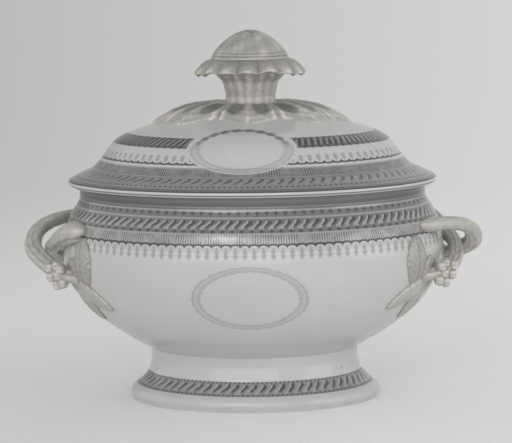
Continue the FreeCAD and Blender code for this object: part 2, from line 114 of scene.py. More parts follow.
# Handle strands on the -X end: (outwards, towards +Y, upwards, section size, turn of the broad side)
BELLY_HALF = 146.8
HANDLE_REACH = 23.0
ROOT_SPREAD = 47.0
HANDLE_LOW = 99.0
HANDLE_RISE = 38.0
OUTER_STRAND = (
    (-1.25, 0.93, 0.97, 1.3, 0), (-0.60, 0.86, 1.00, 1.15, 0), (-0.08, 0.70, 1.00, 1, 0),
    (0.37, 0.49, 0.965, 1, 0), (0.76, 0.25, 0.87, 1, 5), (0.985, 0, 0.70, 1, 15),
    (0.97, -0.21, 0.50, 1, 25), (0.70, -0.43, 0.345, 1, 35), (0.22, -0.66, 0.17, 1, 40),
    (-0.30, -0.87, 0.07, 0.95, 40), (-0.75, -0.98, 0.03, 0.9, 40), (-1.30, -1.02, 0, 0.85, 40))
INNER_STRAND = (
    (-1.35, -1, 0.96, 2.1, 40), (-0.90, -1.03, 0.94, 2, 38), (-0.52, -0.93, 0.88, 1.75, 32),
    (-0.17, -0.73, 0.776, 1.4, 22), (0.12, -0.49, 0.63, 1.2, 10), (0.34, -0.21, 0.51, 1.08, 0),
    (0.41, 0.064, 0.40, 1, 0), (0.38, 0.35, 0.285, 1.02, -12), (0.20, 0.645, 0.17, 1.06, -28),
    (-0.30, 0.87, 0.07, 1.1, -38), (-0.75, 0.98, 0.03, 1.05, -40), (-1.30, 1.02, 0, 1, -40))
OUTER_WIDTH, OUTER_THICK = 13.4, 9.8
INNER_WIDTH, INNER_THICK = 10.6, 8.6
STRAND_SUNK = 2.0
# Leaves of a sprig: (height, turn from the -X end, lean from straight down, length, width, veins, paleness)
SPRIG = (
    (99, 23, 0, 34, 24, 3, 0.28), (112.7, 31.5, 0, 38, 22, 4, 0.28), (88.4, 31, 55, 44, 15, 7, 0.60),
    (84.9, 24.5, 6, 44, 15, 7, 0.60))
LEAF_RELIEF, LEAF_EDGE, LEAF_SUNK = 3.4, 0.5, 1.0
BERRIES = (
    (0.265, -0.787, 0.184), (0.009, -0.872, 0.237), (-0.034, -0.904, 0.04), (0.222, -0.798, 0),
    (-0.12, -0.98, 0.19), (0.009, -0.85, -0.145), (-0.2, -0.94, -0.10))
BERRY_RADIUS = 4.2

# Steps of the finished surfaces
ROUND_STEPS = 320
PETAL_STEPS = 12
BUD_ROWS = 90
ROSETTE_ROWS, ROSETTE_LEAF_STEPS = 70, 48
STRAND_ROWS, STRAND_COLUMNS = 150, 64
STRAND_NOTCHES = 0.62 * STRAND_ROWS
LEAF_ROWS, LEAF_BACK_ROWS, LEAF_COLUMNS = 22, 6, 96


# Curves and surfaces
def smooth_run(points, start_way, end_way, steps):
    """A cubic spline through the points, over their chord lengths, which starts and ends the given ways."""
    points = np.array(points, float)
    spans = np.linalg.norm(np.diff(points, axis=0), axis=1)
    places = np.concatenate([[0.0], np.cumsum(spans)])
    count = len(points)
    system = np.eye(count)
    right = np.zeros_like(points)
    right[0], right[-1] = start_way, end_way
    middle = np.arange(1, count - 1)
    low, high = 1 / spans[:-1], 1 / spans[1:]
    system[middle, middle - 1] = low
    system[middle, middle] = 2 * (low + high)
    system[middle, middle + 1] = high
    pulls = np.diff(points, axis=0) / spans[:, None] ** 2
    right[1:-1] = 3 * (pulls[:-1] + pulls[1:])
    slopes = np.linalg.solve(system, right)
    at = np.linspace(0.0, places[-1], steps)
    index = np.clip(np.searchsorted(places, at, side="right") - 1, 0, count - 2)
    span = spans[index][:, None]
    t = (at - places[index])[:, None] / span
    start, end = points[index], points[index + 1]
    leave, arrive = slopes[index] * span, slopes[index + 1] * span
    return ((2 * t**3 - 3 * t**2 + 1) * start + (t**3 - 2 * t**2 + t) * leave
            + (3 * t**2 - 2 * t**3) * end + (t**3 - t**2) * arrive)


def inset(points, wall):
    """The points moved square to their outline, to its left, by the wall."""
    points = np.array(points, float)
    ways = np.empty_like(points)
    ways[1:-1] = points[2:] - points[:-2]
    ways[0], ways[-1] = points[1] - points[0], points[-1] - points[-2]
    ways /= np.linalg.norm(ways, axis=1)[:, None]
    return points + np.stack([-ways[:, 1], ways[:, 0]], axis=1) * wall


def straight(start, end, steps):
    """Even steps from one point to the next, without the last."""
    return np.linspace(start, end, steps + 1)[:-1]


def arc(centre, radius, start, end, steps):
    """Points of a circle from one angle to the other, in degrees."""
    angle = np.radians(np.linspace(start, end, steps))
    return np.stack([centre[0] + radius * np.cos(angle), centre[1] + radius * np.sin(angle)], axis=1)


def way_along(points):
    """The length of the path from its first point to each point."""
    return np.concatenate([[0.0], np.cumsum(np.linalg.norm(np.diff(points, axis=0), axis=1))])


def shares_along(points):
    """The way along the path to each point, as a share of the whole."""
    ways = way_along(points)
    return ways / ways[-1]


def unit(values):
    """The values kept between 0 and 1."""
    return np.clip(values, 0, 1)


def bell(offset, width):
    """exp(-(offset / width)^2)"""
    return np.exp(-(offset / width) ** 2)


def oval_angles(steps):
    """Angles of the columns, from the back and anticlockwise, as seen from above."""
    return math.pi / 2 + 2 * math.pi * np.arange(steps) / steps


def share_round(steps, plan):
    """For each column's edge, the share of the oval's length that lies before it."""
    fine = np.linspace(math.pi / 2, math.pi / 2 + 2 * math.pi, steps * 8 + 1)
    lengths = way_along(np.stack([np.cos(fine), plan * np.sin(fine)], axis=1))
    return lengths[::8] / lengths[-1]


def carried_round(half, plan, turn, height):
    """Points at x = half cos t, y = plan half sin t, z = height."""
    return np.stack([half * np.cos(turn), half * plan * np.sin(turn), height + 0 * turn], axis=2)


def face_arrays(grid, first):
    """Corner numbers of a grid's faces. Columns close. Rows that meet in a point or each other are joined."""
    rows, columns = grid.shape[:2]
    ids = np.arange(rows * columns).reshape(rows, columns)
    for row in (0, rows - 1):
        if np.ptp(grid[row], axis=0).max() < TOUCHING:
            ids[row] = ids[row, 0]
    if np.abs(grid[0] - grid[-1]).max() < TOUCHING:
        ids[-1] = ids[0]
    used, packed = np.unique(ids, return_inverse=True)
    packed = packed.reshape(rows, columns)
    row, column = np.meshgrid(np.arange(rows - 1), np.arange(columns), indexing="ij")
    corner_rows = np.stack([row, row, row + 1, row + 1], axis=2).reshape(-1, 4)
    corner_columns = np.stack([column, column + 1, column + 1, column], axis=2).reshape(-1, 4)
    corners = packed[corner_rows, corner_columns % columns]
    points = grid.reshape(-1, 3)[used]
    fan = points[corners]
    volume = np.einsum("ij,ij->i", fan[:, 0], np.cross(fan[:, 1], fan[:, 2])).sum()
    volume += np.einsum("ij,ij->i", fan[:, 0], np.cross(fan[:, 2], fan[:, 3])).sum()
    if volume < 0:
        corners, corner_rows, corner_columns = corners[:, ::-1], corner_rows[:, ::-1], corner_columns[:, ::-1]
    return points, used, corners + first, corner_rows, corner_columns


def new_object(name, data):
    """An object of that data, linked into the scene."""
    item = bpy.data.objects.new(name, data)
    bpy.context.scene.collection.objects.link(item)
    return item


def new_piece(name, shapes, body, material, replaced, shares=None, ways=None, sharp=60.0):
    """One mesh of closed grids, each with its relief. Where it is painted, shares and ways are its UV."""
    parts = []
    first = 0
    for points, relief in shapes:
        packed, used, corners, rows, columns = face_arrays(points, first)
        across = np.linspace(0, 1, points.shape[1] + 1) if shares is None else shares
        up = np.linspace(0, 1, len(points)) if ways is None else ways
        uv = np.stack([across[columns], up[rows]], axis=2)
        parts.append((packed, corners, uv, relief.reshape(-1)[used]))
        first += len(packed)
    points, faces, uv, reliefs = [np.concatenate(arrays) for arrays in zip(*parts)]
    points = points * METRES
    kept = faces != np.roll(faces, 1, axis=1)
    loops, uv = faces[kept], uv[kept]
    totals = kept.sum(axis=1)
    full = totals > 2
    wanted = np.repeat(full, totals)
    loops, uv, totals = loops[wanted], uv[wanted], totals[full]
    mesh = bpy.data.meshes.new(name)
    mesh.vertices.add(len(points))
    mesh.vertices.foreach_set("co", points.astype(np.float32).ravel())
    mesh.loops.add(len(loops))
    mesh.loops.foreach_set("vertex_index", loops.astype(np.int32))
    mesh.polygons.add(len(totals))
    mesh.polygons.foreach_set("loop_start", np.concatenate([[0], np.cumsum(totals)[:-1]]).astype(np.int32))
    mesh.uv_layers.new(name=PAINTING_UV).data.foreach_set("uv", uv.astype(np.float32).ravel())
    mesh.attributes.new(RELIEF, "FLOAT", "POINT").data.foreach_set("value", reliefs.astype(np.float32))
    mesh.update(calc_edges=True)
    mesh.validate()
    mesh.polygons.foreach_set("use_smooth", np.ones(len(mesh.polygons), bool))
    mesh.set_sharp_from_angle(angle=math.radians(sharp))
    mesh.materials.append(material)
    piece = new_object(name, mesh)
    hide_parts(replaced)
    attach(piece, body)


def gilded_piece(name, shapes, body, gilt, replaced):
    """A piece with the gilt material."""
    new_piece(name, shapes, body, gilt, replaced)


# Fields: numbers that vary over a surface, written as sums
def feed(tree, socket, value):
    """Links a field to the socket, or sets the socket to a plain value."""
    if isinstance(value, Field):
        tree.links.new(value.socket, socket)
    else:
        socket.default_value = value


def feed_inputs(tree, node, values):
    """Feeds a node's inputs by name."""
    for name, value in values.items():
        feed(tree, node.inputs[name], value)


class Field:
    """A socket of a node tree. Each sum of fields adds one Math node, so a motif reads as its formula."""

    def __init__(self, tree, socket):
        self.tree, self.socket = tree, socket

    def math(self, operation, *others):
        """A Math node of this field and the others."""
        node = self.tree.nodes.new("ShaderNodeMath")
        node.operation = operation
        for socket, value in zip(node.inputs, (self,) + others):
            feed(self.tree, socket, value)
        return Field(self.tree, node.outputs[0])

    __add__ = partialmethod(math, "ADD")
    __sub__ = partialmethod(math, "SUBTRACT")
    __mul__ = partialmethod(math, "MULTIPLY")
    __rmul__ = __mul__
    __rsub__ = partialmethod(math, "MULTIPLY_ADD", -1.0)
    __truediv__ = partialmethod(math, "DIVIDE")
    __abs__ = partialmethod(math, "ABSOLUTE")
    sine = partialmethod(math, "SINE")
    fraction = partialmethod(math, "FRACT")
    root = partialmethod(math, "SQRT")
    power = partialmethod(math, "POWER")
    least = partialmethod(math, "MINIMUM")
    most = partialmethod(math, "MAXIMUM")

    def swing(self):
        """The place within one motif, from -0.5 to 0.5."""
        return self.fraction() - 0.5

    def below(self, edge, soft):
        """1 where the field is under the edge, 0 above it, with a soft border."""
        node = self.tree.nodes.new("ShaderNodeMapRange")
        node.interpolation_type = "SMOOTHSTEP"
        feed_inputs(self.tree, node, {"Value": self, "From Min": edge - soft, "From Max": edge + soft,
                                      "To Min": 1.0, "To Max": 0.0})
        return Field(self.tree, node.outputs["Result"])

    def inside(self, low, high, soft):
        """1 between the two borders."""
        return abs(self - (low + high) / 2).below((high - low) / 2, soft)

    def towards(self, value, share):
        """This field, moved to the value by the share."""
        return self + (value - self) * share


def effect(name, inputs, formula):
    """A node group whose formula takes its inputs as fields and returns its outputs by name."""
    tree = bpy.data.node_groups.new(name, "ShaderNodeTree")
    for word in inputs:
        tree.interface.new_socket(name=word, in_out="INPUT", socket_type="NodeSocketFloat")
    entry = tree.nodes.new("NodeGroupInput")
    made = formula(*[Field(tree, entry.outputs[word]) for word in inputs])
    sink = tree.nodes.new("NodeGroupOutput")
    for word, field in made.items():
        tree.interface.new_socket(name=word, in_out="OUTPUT", socket_type="NodeSocketFloat")
        tree.links.new(field.socket, sink.inputs[word])
    return tree


def place_effect(tree, group, *values):
    """The group in a material, fed with values in the order of its inputs. Returns its outputs in order."""
    node = tree.nodes.new("ShaderNodeGroup")
    node.node_tree = group
    for socket, value in zip(node.inputs, values):
        feed(tree, socket, value)
    return [Field(tree, socket) for socket in node.outputs]


def source(tree, kind, output):
    """The output of a new node that needs no input."""
    return tree.nodes.new(kind).outputs[output]


def split(tree, vector):
    """The three numbers of a vector, as fields."""
    node = tree.nodes.new("ShaderNodeSeparateXYZ")
    tree.links.new(vector, node.inputs[0])
    return [Field(tree, socket) for socket in node.outputs]


def object_place(tree):
    """Object X, Y and Z in metres, as fields."""
    return split(tree, source(tree, "ShaderNodeTexCoord", "Object"))


def clouds(tree, scale, detail):
    """Noise on Object coordinates, as a field round 0.5."""
    noise = tree.nodes.new("ShaderNodeTexNoise")
    feed_inputs(tree, noise, {"Scale": scale, "Detail": detail})
    tree.links.new(source(tree, "ShaderNodeTexCoord", "Object"), noise.inputs["Vector"])
    return Field(tree, noise.outputs["Fac"])


def grey(level):
    """The linear value of a grey that reads as this level, from 0 to 255, on a screen."""
    share = level / 255
    return share / 12.92 if share <= 0.04045 else ((share + 0.055) / 1.055) ** 2.4


# Painted motifs. Round counts motifs, Up runs from 0 to 1 across a border, or in motif widths where said.
def unsteady(field, amount, scale=90.0):
    """The field shaken by fine noise, as a painter's hand would."""
    return field + (clouds(field.tree, scale, 2.0) - 0.5) * amount


def rope_motif(around, up):
    """Leaning curled leaves: each has a pale body, a white edge like an S, and a dark drop beside it."""
    around, up = unsteady(around, 0.45), unsteady(up, 0.3, 120.0)
    lean = 0.60 * (up - 0.5) + 0.11 * ((up - 0.5) * (2 * math.pi)).sine()
    place = (around - lean).swing()
    band = up.inside(0.0, 1.0, 0.06)
    notch = (up * 4.0 + place * 3.0).fraction() * 0.08
    body = abs(place + 0.06).below(0.36 - up * 0.27 - notch, 0.07) * band
    light = abs(place + 0.02 - up * 0.07).below(0.055, 0.05) * band
    drop = ((place - 0.31) / 0.22).power(2.0) + ((up - 0.62) / 0.40).power(2.0)
    edge = abs(place - 0.24 + up * 0.22).below(0.05, 0.04) * band
    dark = drop.below(1.0, 0.35) * band
    return {"Dark": dark.most(edge * 0.55), "Light": light.most(body * 0.55)}


def stroke_motif(around, up):
    """Close leaning strokes, dark and heavy in the middle, as of a twisted cord seen small."""
    around = unsteady(around, 0.6)
    place = (around - (up - 0.5) * 0.75).swing()
    thick = 0.30 - abs(up - 0.5) * 0.24
    dark = abs(place).below(thick, 0.10) * up.inside(0.0, 1.0, 0.08)
    return {"Dark": dark, "Light": abs(abs(place) - 0.42).below(0.06, 0.05) * up.inside(0.1, 0.9, 0.1)}


def bead_motif(around, up):
    """Round beads, one for each motif. Up is counted in motif widths from the row's middle."""
    return {"Bead": (around.swing().power(2.0) + up.power(2.0)).below(0.085, 0.05)}


def diamond_motif(around, up):
    """Small diamonds with hollow sides. Up is counted in motif widths from the row's middle."""
    return {"Diamond": (abs(around.swing()).root() + abs(up).root()).below(0.70, 0.12)}


def hatch_motif(around, up):
    """Upright strokes of uneven strength, which end unevenly at both borders."""
    wear = clouds(around.tree, 140.0, 2.0)
    stroke = abs(around.swing()).below(0.24, 0.13)
    force = ((wear - 0.5) * 3.2 + 0.72).most(0.15).least(1.0)
    return {"Stroke": stroke * abs(up - 0.5).below(wear * 0.25 + 0.36, 0.06) * force}


def scallop_motif(around, up):
    """A line of low arches: up = 0.22 sqrt(1 - (2 t)^2) in motif widths, thicker where two arches meet."""
    around = unsteady(around, 0.18)
    t = abs(around.swing()) * 2
    arch = ((1 - t.power(2.0)).most(0.0)).root() * 0.22
    thick = t.power(3.0) * 0.10 + 0.105
    below_arch = (up - arch).below(0.0, 0.03)
    return {"Line": abs(up - arch).below(thick, 0.05), "Under": below_arch}


def sprig_motif(around, up):
    """A leaf spray for each motif: broadest at a third of its height, toothed, with a dark vein. Up counts
    from the tip to the foot."""
    around = unsteady(around, 0.2)
    t = abs(around.swing())
    swell = 1 - ((up - 0.36) / 0.62).power(2.0)
    width = swell.most(0.0) * 0.30 * ((up * 3).fraction() * 0.8 + 0.45)
    leaf = t.below(width, 0.13) * up.inside(0.0, 1.0, 0.08)
    vein = t.below(0.05, 0.08) * up.inside(0.1, 1.0, 0.1)
    return {"Spray": leaf * 0.7 + vein * 0.3}


def chain_motif(turns, off):
    """A frame's parts: a twisted ribbon, two fine lines with a pale one between, which is a painted
    highlight, and a leafy band.
    """
    turns, off = unsteady(turns, 0.22, 60.0), unsteady(off, 0.7, 60.0)
    swell = abs((turns * (2 * math.pi)).sine()) + 0.7
    folds = abs((turns * 2 + off * 0.3).swing()).below(0.36, 0.14)
    ribbon = abs(off).below(swell, 0.45) * (folds * 0.35 + 0.65)
    lines = abs(abs(off) - 1.9).below(0.22, 0.35)
    bumps = abs((turns * 2.5).swing()) * 2
    tuft = abs((turns * 7.5 - abs(off) * 0.2).swing()).below(0.25, 0.25)
    leaves = abs(off).below(bumps * 1.4 + 2.1, 0.6) * (tuft * 0.4 + 0.6)
    # Pale is the painted highlight between the two fine lines
    return {"Ribbon": ribbon, "Lines": lines, "Leaves": leaves, "Pale": abs(off - 0.4).below(0.25, 0.4)}


def aged_glaze(tone):
    """Faint clouding of the glaze and a few iron specks."""
    tree = tone.tree
    cloud = clouds(tree, 22.0, 4.0)
    fleck = clouds(tree, 260.0, 1.0)
    speck = (1 - fleck.below(0.79, 0.015)) * 0.75
    return {"Tone": (tone * (cloud * 0.09 + 0.955)).towards(0.12, speck)}


ROPE = effect("rope border", ("Round", "Up"), rope_motif)
STROKES = effect("stroke border", ("Round", "Up"), stroke_motif)
BEADS = effect("bead row", ("Round", "Up"), bead_motif)
DIAMONDS = effect("diamond row", ("Round", "Up"), diamond_motif)
HATCH = effect("hatched border", ("Round", "Up"), hatch_motif)
SCALLOPS = effect("scalloped line", ("Round", "Up"), scallop_motif)
SPRAYS = effect("leaf sprays", ("Round", "Up"), sprig_motif)
CHAIN = effect("medallion chain", ("Turns", "Off"), chain_motif)
AGED = effect("aged glaze", ("Tone",), aged_glaze)

# Tones: the grey levels from 0 to 255 that they read as on a screen. The cover's glaze is painted a little
# darker than the bowl's, as shade on its top.
GLAZE, COVER_SHADED_GLAZE, FOOT_GLAZE = 190, 187, 184
GROUND, DARK, MIDDLE, PALE, SPRAY_TONE = 120, 84, 114, 168, 142
TINT_GLAZE, TINT_GILT, NO_TINT = (1.0, 1.0, 0.985), (1.03, 1.0, 0.93), (1.0, 1.0, 1.0)
GLAZE_ROUGHNESS, PAINT_ROUGHNESS, PAINT_METAL = 0.11, 0.17, 0.25

# Medallions: (right of the middle, height, half length, half height, share of the ribbon)
BOWL_MEDALLION = (2.6, 91.8, 39.6, 22.6, 0.0)
COVER_MEDALLION = (-3.0, 197.6, 34.7, 13.5, 0.95)
FRAME_TURNS, FRAME_WIDTH, FRAME_RIBBON = 12, 4.6, 110
# The pale line between the frame's fine lines is a painted highlight
FRAME_LEAVES, FRAME_LINES, FRAME_PAINTED_HIGHLIGHT = (158, 0.7), (148, 0.6), (198, 0.6)
# Counters of motifs: (height where the oval is measured, pitch)
BOWL_ARCHES, BOWL_LEAVES, BOWL_BEADS = (131.0, 6.9), (146.0, 7.1), (159.2, 1.8)
COVER_LINKS, COVER_ARCHES, COVER_LEAVES, COVER_BEADS = (203.0, 6.0), (190.0, 6.9), (178.0, 7.6), (171.6, 1.8)
FOOT_LEAVES = (16.0, 7.2)
# Bands: (low, high, tone, strength)
BOWL_TINT = (127.4, 131.4, 160, 0.6)
BOWL_NECK = (139.6, 168.4, GROUND, 1.0)
BOWL_ROPE_GROUND = (142.8, 149.6, 112, 0.7)
# Painted shade on the bowl's mouth under the cover's rim, and darker painted shade round the beads
BOWL_UNDER_RIM_SHADE = (157.2, 168.4, MIDDLE, 1.0)
BOWL_MOUTH_SHADE = (157.0, 161.6, 100, 1.0)
COVER_CHAIN = (199.2, 206.0, MIDDLE, 1.0)
COVER_COVE = (171.6, 179.2, 144, 1.0)
FOOT_FLARE = (11.9, 21.9, 136, 1.0)
# Hatched zones: (low, high, tone, low and high ends of the strokes, tone of the strokes, their counter)
BOWL_HATCHING = (130.6, 139.6, 156, 132.6, 139.4, 96, (135.0, 1.9))
COVER_HATCHING = (179.4, 185.9, 146, 179.8, 185.0, 94, (184.0, 1.9))
# Rows of motifs: (low, high, then tone and strength for each mask of the motif)
BOWL_SPRAYS = (121.6, 131.0, (SPRAY_TONE, 1.0))
BOWL_ROPE = (142.9, 149.4, (80, 0.95), (180, 1.0))
COVER_SPRAYS = (194.4, 189.0, (SPRAY_TONE, 1.0))
COVER_STROKES = (200.4, 205.4, (DARK, 1.0), (164, 0.8))
COVER_ROPE = (174.4, 178.5, (DARK, 0.8), (152, 0.8))
FOOT_ROPE = (13.4, 20.2, (88, 1.0), (172, 0.9))
# Lines: (height, width, tone, strength)
BOWL_LINES = ((139.9, 1.3, 160, 0.9), (151.0, 1.7, 160, 0.9), (156.2, 0.9, 160, 0.72))
COVER_LINES = ((185.4, 0.7, 166, 0.7), (179.1, 0.6, 92, 0.8))
# Round the rim, as ways before the painted outline starts: (middle, half width, softness, tone)
RIM_BEAD_GROUND = (-1.55, 1.95, 0.2, 82)
RIM_BEAD_WAY = -1.5
# A thin dark line round the rim: painted reflection, the dark between two reflections on the glaze
RIM_REFLECTION_GAP_LINE = (-5.75, 0.55, 0.3, 116)
RIM_GLAZE_END, RIM_GLAZE = -3.6, 188
# From the rim's bottom up to this way, its underside is painted dark: painted shade
RIM_UNDER_SHADE_END = -7.4


def start_material(name):
    material = bpy.data.materials.new(name)
    material.use_nodes = True
    tree = material.node_tree
    return material, tree, tree.nodes["Principled BSDF"]


def colour_from(tree, tone, tint):
    """The tone with a faint tint, as a colour."""
    node = tree.nodes.new("ShaderNodeCombineColor")
    for socket, share in zip(node.inputs, tint):
        feed(tree, socket, tone * share)
    return Field(tree, node.outputs["Color"])


def bumped(tree, height, depth):
    """Normals of the height field as a relief of that depth in metres."""
    node = tree.nodes.new("ShaderNodeBump")
    feed_inputs(tree, node, {"Strength": 1.0, "Distance": depth, "Height": height})
    return Field(tree, node.outputs["Normal"])


class Painting:
    """One painted oval, coat by coat. Heights count from the ground, ways along the outline."""

    def __init__(self, name, outline, glaze):
        self.material, self.tree, self.shader = start_material(name)
        tree = self.tree
        uv = tree.nodes.new("ShaderNodeUVMap")
        uv.uv_map = PAINTING_UV
        self.share, self.way, _ = split(tree, uv.outputs["UV"])
        self.x, _, self.z = [place * MILLIMETRES for place in object_place(tree)]
        self.halves, self.heights = outline.T
        self.ways = way_along(outline)
        self.glaze = glaze
        self.tone = self.share * 0.0 + grey(glaze)

    def at(self, height):
        return float(np.interp(height, self.heights, self.ways))

    def count(self, height, pitch):
        """The counter of motifs of about that pitch, a whole number of them in the oval."""
        half = float(np.interp(height, self.heights, self.halves))
        perimeter = math.pi * half * (3 * (1 + PLAN) - math.sqrt((3 + PLAN) * (1 + 3 * PLAN)))
        return self.share * float(round(perimeter / pitch))

    def up(self, low, high):
        """0 at the low height and 1 at the high one."""
        start, end = self.at(low), self.at(high)
        return (self.way - start) / (end - start)

    def off(self, height, pitch):
        """The way from a height, in motif widths."""
        return (self.way - self.at(height)) / pitch

    def band(self, low, high, soft=0.25):
        return self.way.inside(self.at(low), self.at(high), soft)

    def coat(self, tone, mask, strength=1.0):
        """Paint of that tone where the mask is 1."""
        self.tone = self.tone.towards(grey(tone), mask * strength)

    def fill(self, band, soft=0.25):
        """A band of one tone. Returns its mask."""
        low, high, tone, strength = band
        mask = self.band(low, high, soft)
        self.coat(tone, mask, strength)
        return mask

    def lines(self, rows):
        for height, width, tone, strength in rows:
            self.coat(tone, abs(self.way - self.at(height)).below(width / 2, 0.2), strength)

    def row(self, motif, counter, row):
        """A row of motifs between two heights. Each output of the motif is the mask of one coat."""
        low, high, *coats = row
        for mask, (tone, strength) in zip(place_effect(self.tree, motif, counter, self.up(low, high)), coats):
            self.coat(tone, mask, strength)

    def diamonds(self, pitch, *rows):
        """Rows of diamonds, each a counter and a height."""
        for counter, height in rows:
            (mask,) = place_effect(self.tree, DIAMONDS, counter, self.off(height, pitch))
            self.coat(DARK, mask)

    def hatch(self, zone, row):
        """Close upright strokes on a ground, both within the zone."""
        _, _, tone, low, high, stroke_tone, counter = row
        self.coat(tone, zone)
        (stroke,) = place_effect(self.tree, HATCH, self.count(*counter), self.up(low, high))
        self.coat(stroke_tone, stroke * zone)

    def medallion(self, right, height, half_long, half_up, ribbon_share):
        """A blank oval in a frame, which is a dark ribbon over the upper half by its share, and else a leafy
        band with fine lines and a painted highlight between them. Only the outline itself is painted. Returns
        1 inside the frame's outer edge."""
        x, y = (self.x - right) / half_long, (self.z - height) / half_up
        reach = (x.power(2.0) + y.power(2.0)).root()
        turns = y.math("ARCTAN2", x) * (FRAME_TURNS / (2 * math.pi))
        off = (reach - 1) * ((half_long + half_up) / 2)
        ribbon, lines, leaves, pale = place_effect(self.tree, CHAIN, turns, off)
        outside = self.way.inside(0.0, float(self.ways[-1]), 0.5)
        upper = (1 - y.below(0.3, 0.35)) * ribbon_share
        plain = outside - upper
        cover = off.below(FRAME_WIDTH, 0.6) * outside
        self.coat(self.glaze, cover)
        # Leaves, fine lines, and the painted highlight between the lines
        for mask, (tone, strength) in ((leaves, FRAME_LEAVES), (lines, FRAME_LINES), (pale, FRAME_PAINTED_HIGHLIGHT)):
            self.coat(tone, mask * plain, strength)
        self.coat(FRAME_RIBBON, ribbon * upper * outside)
        return cover

    def finish(self, painted):
        """Glossy glaze, gently uneven. Where it is painted, it is a little duller, raised and partly gilt."""
        tree = self.tree
        (aged,) = place_effect(tree, AGED, self.tone)
        feed_inputs(tree, self.shader, {
            "Base Color": colour_from(tree, aged, TINT_GLAZE),
            "Roughness": painted * (PAINT_ROUGHNESS - GLAZE_ROUGHNESS) + GLAZE_ROUGHNESS,
            "Metallic": painted * PAINT_METAL,
            "Normal": bumped(tree, clouds(tree, 14.0, 2.0) * 0.7 + painted * 0.02, 0.0012)})
        return self.material


def bowl_paint(outline):
    """Borders on the bowl's neck and shoulder, and a medallion on its front and back."""
    paint = Painting("painted bowl porcelain", outline, GLAZE)
    paint.medallion(*BOWL_MEDALLION)
    arches = paint.count(*BOWL_ARCHES)
    line, under = place_effect(paint.tree, SCALLOPS, arches, paint.off(130.8, BOWL_ARCHES[1]))
    paint.fill(BOWL_TINT, 1.4)
    paint.row(SPRAYS, arches, BOWL_SPRAYS)
    paint.hatch(paint.band(*BOWL_HATCHING[:2], 0.2) * (1 - under), BOWL_HATCHING)
    paint.fill(BOWL_NECK)
    paint.fill(BOWL_ROPE_GROUND)
    leaves = paint.count(*BOWL_LEAVES)
    paint.row(ROPE, leaves, BOWL_ROPE)
    paint.diamonds(BOWL_LEAVES[1], (leaves + 0.3, 141.6), (leaves + 0.7, 154.4))
    # Painted shade under the cover's rim, darker where the beads sit
    paint.fill(BOWL_UNDER_RIM_SHADE)
    paint.fill(BOWL_MOUTH_SHADE)
    (beads,) = place_effect(paint.tree, BEADS, paint.count(*BOWL_BEADS), paint.off(158.5, BOWL_BEADS[1]))
    paint.coat(PALE, beads, 0.7)
    paint.lines(BOWL_LINES)
    paint.coat(68, line)
    return paint.finish(paint.band(BOWL_HATCHING[0], 168.0, 0.2))


def cover_paint(outline):
    """Borders on the cover's cove, crown and rim, and a medallion on its front and back."""
    # The cover's glaze tone is painted shade: a little darker than the bowl's glaze.
    paint = Painting("painted cover porcelain", outline, COVER_SHADED_GLAZE)
    way = paint.way
    chain = paint.fill(COVER_CHAIN)
    links = paint.count(*COVER_LINKS)
    paint.row(STROKES, links * 1.25, COVER_STROKES)
    paint.diamonds(COVER_LINKS[1], (links, 199.9), (links + 0.5, 205.6))
    arches = paint.count(*COVER_ARCHES)
    paint.row(SPRAYS, arches, COVER_SPRAYS)
    hatched = paint.band(*COVER_HATCHING[:2])
    paint.hatch(hatched, COVER_HATCHING)
    line, _ = place_effect(paint.tree, SCALLOPS, arches, paint.off(189.3, -COVER_ARCHES[1]))
    paint.coat(DARK, line)
    medallion = paint.medallion(*COVER_MEDALLION)
    cove = paint.fill(COVER_COVE)
    paint.lines(COVER_LINES)
    leaves = paint.count(*COVER_LEAVES)
    paint.row(ROPE, leaves, COVER_ROPE)
    paint.diamonds(COVER_LEAVES[1] / 2, (leaves * 2.0, 173.5))
    middle, half, soft, tone = RIM_BEAD_GROUND
    paint.coat(tone, abs(way - middle).below(half, soft))
    beads_off = (way - RIM_BEAD_WAY) / COVER_BEADS[1]
    (beads,) = place_effect(paint.tree, BEADS, paint.count(*COVER_BEADS), beads_off)
    paint.coat(160, beads, 0.8)
    paint.coat(RIM_GLAZE, way.inside(-RIM_WAY, RIM_GLAZE_END, 0.2))
    # Painted reflection and shade on the rim: a thin dark line between two reflections, and the rim's
    # underside darkened
    middle, half, soft, tone = RIM_REFLECTION_GAP_LINE
    paint.coat(tone, abs(way - middle).below(half, soft).most(way.inside(-RIM_WAY, RIM_UNDER_SHADE_END, 1.1)))
    return paint.finish(cove.most(hatched).most(chain * (1 - medallion)))


def foot_paint(outline):
    """A rope border on the foot's flare."""
    paint = Painting("painted foot porcelain", outline, FOOT_GLAZE)
    border = paint.fill(FOOT_FLARE)
    leaves = paint.count(*FOOT_LEAVES)
    paint.row(ROPE, leaves, FOOT_ROPE)
    paint.diamonds(FOOT_LEAVES[1] / 2, (leaves * 2.0, 12.7), (leaves * 2.0, 21.1))
    return paint.finish(border)


def plain_paint():
    """Unpainted glaze for what the cover hides."""
    material, tree, shader = start_material("plain porcelain")
    tone = clouds(tree, 22.0, 3.0) * 0.04 + (grey(GLAZE) - 0.02)
    feed_inputs(tree, shader, {"Base Color": colour_from(tree, tone, TINT_GLAZE),
                               "Roughness": clouds(tree, 60.0, 2.0) * 0.1 + 0.12})
    return material


